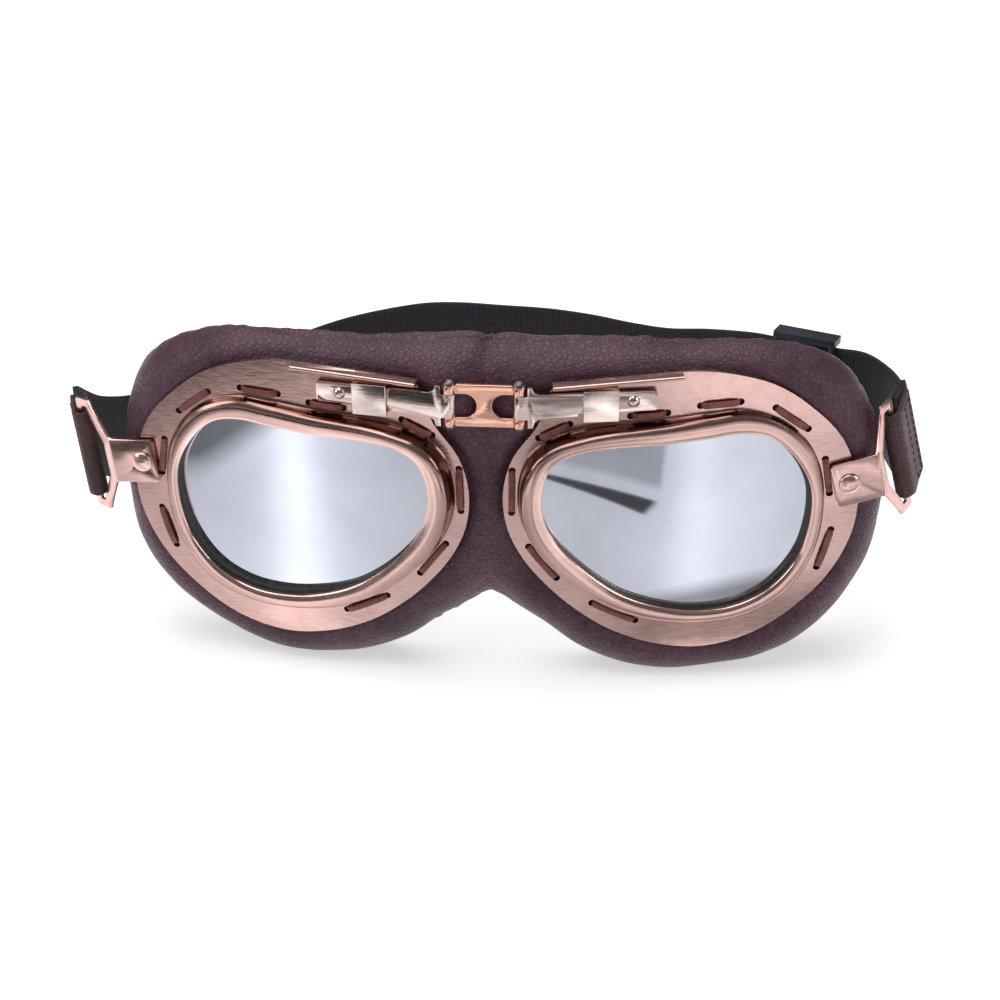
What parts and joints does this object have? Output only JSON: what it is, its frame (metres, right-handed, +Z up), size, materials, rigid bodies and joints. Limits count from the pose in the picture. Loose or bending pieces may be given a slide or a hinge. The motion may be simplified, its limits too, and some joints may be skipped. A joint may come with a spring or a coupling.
{
  "type": "riding goggles",
  "caption": "Padded riding goggles with two laced metal eye cups, mirrored lenses, a hinged bridge with adjusting arms, pivoting side brackets and an elastic strap.",
  "frame": {"origin": "centre of the bounding box's base: midway between the temples and between front and back, on the surface the two pad lobes rest on", "axes": "+X across the face towards the right side seen from the front, -Y out of the lenses, +Z up"},
  "size_m": [0.22, 0.1162, 0.0938],
  "materials": {
    "bridge_copper": "bright copper plating, lightly brushed",
    "dark_steel": "darkened steel pins",
    "leather": "dark purple-brown grained leather, semi-matt",
    "antique_copper": "antique brushed copper plating with dark shadows",
    "arm_metal": "pale pink-grey antique plating",
    "gasket_rubber": "black rubber",
    "lens_mirror": "silver mirror coating",
    "rim_metal": "dark plated retainer",
    "lace_leather": "reddish brown leather lace",
    "foam": "open cell foam",
    "lining_cloth": "black velour face cloth",
    "elastic": "black woven elastic",
    "tab_leather": "dark brown leather, stitched",
    "buckle_plastic": "blue-black moulded plastic"
  },
  "bodies": {
    "bridge": {"bridge_plate": "bridge_copper", "left_hinge_pin": "dark_steel", "right_hinge_pin": "dark_steel", "nose_pad": "leather", "strap_back": "elastic"},
    "left_arm": {"left_arm_bar": "arm_metal"},
    "left_eye": {"left_flange": "antique_copper", "left_keeper": "arm_metal", "left_bezel": "antique_copper", "left_gasket": "gasket_rubber", "left_lens": "lens_mirror", "left_inner_rim": "rim_metal", "left_lacing": "lace_leather", "left_rivet": "bridge_copper", "left_pad_leather": "leather", "left_pad_foam": "foam", "left_pad_lining": "lining_cloth", "left_strap": "elastic"},
    "left_bracket": {"left_bracket_plate": "antique_copper", "left_tab": "tab_leather"},
    "right_arm": {"right_arm_bar": "arm_metal"},
    "right_eye": {"right_flange": "antique_copper", "right_keeper": "arm_metal", "right_bezel": "antique_copper", "right_gasket": "gasket_rubber", "right_lens": "lens_mirror", "right_inner_rim": "rim_metal", "right_lacing": "lace_leather", "right_rivet": "bridge_copper", "right_pad_leather": "leather", "right_pad_foam": "foam", "right_pad_lining": "lining_cloth", "right_strap": "elastic"},
    "right_bracket": {"right_bracket_plate": "antique_copper", "right_tab": "tab_leather"},
    "adjuster": {"adjuster": "buckle_plastic"}
  },
  "joints": [
    {"name": "left_hinge", "type": "hinge", "parent": "bridge", "child": "left_arm", "pos_m": [-0.00717, -0.0528, 0.0803], "axis": [0, 0, -1], "range_deg": [-8, 15], "stiffness_Nm_per_rad": 0.08},
    {"name": "left_slide", "type": "slide", "parent": "left_arm", "child": "left_eye", "axis": [-0.9903, 0.1392, 0], "range_m": [-0.0015, 0.002]},
    {"name": "left_bracket_pivot", "type": "hinge", "parent": "left_eye", "child": "left_bracket", "pos_m": [-0.08704, -0.04269, 0.0572], "axis": [0.1392, 0.9903, 0], "range_deg": [-10, 25]},
    {"name": "right_hinge", "type": "hinge", "parent": "bridge", "child": "right_arm", "pos_m": [0.00951, -0.0528, 0.0803], "axis": [0, 0, 1], "range_deg": [-8, 15], "stiffness_Nm_per_rad": 0.08, "deforming": ["strap_back"]},
    {"name": "right_slide", "type": "slide", "parent": "right_arm", "child": "right_eye", "axis": [0.9903, 0.1392, 0], "range_m": [-0.0015, 0.002]},
    {"name": "right_bracket_pivot", "type": "hinge", "parent": "right_eye", "child": "right_bracket", "pos_m": [0.08938, -0.04269, 0.0572], "axis": [0.1392, -0.9903, 0], "range_deg": [-12, 3]},
    {"name": "adjuster_slide", "type": "slide", "parent": "right_eye", "child": "adjuster", "axis": [-0.92, 0.392, 0], "range_m": [-0.006, 0.006]}
  ]
}
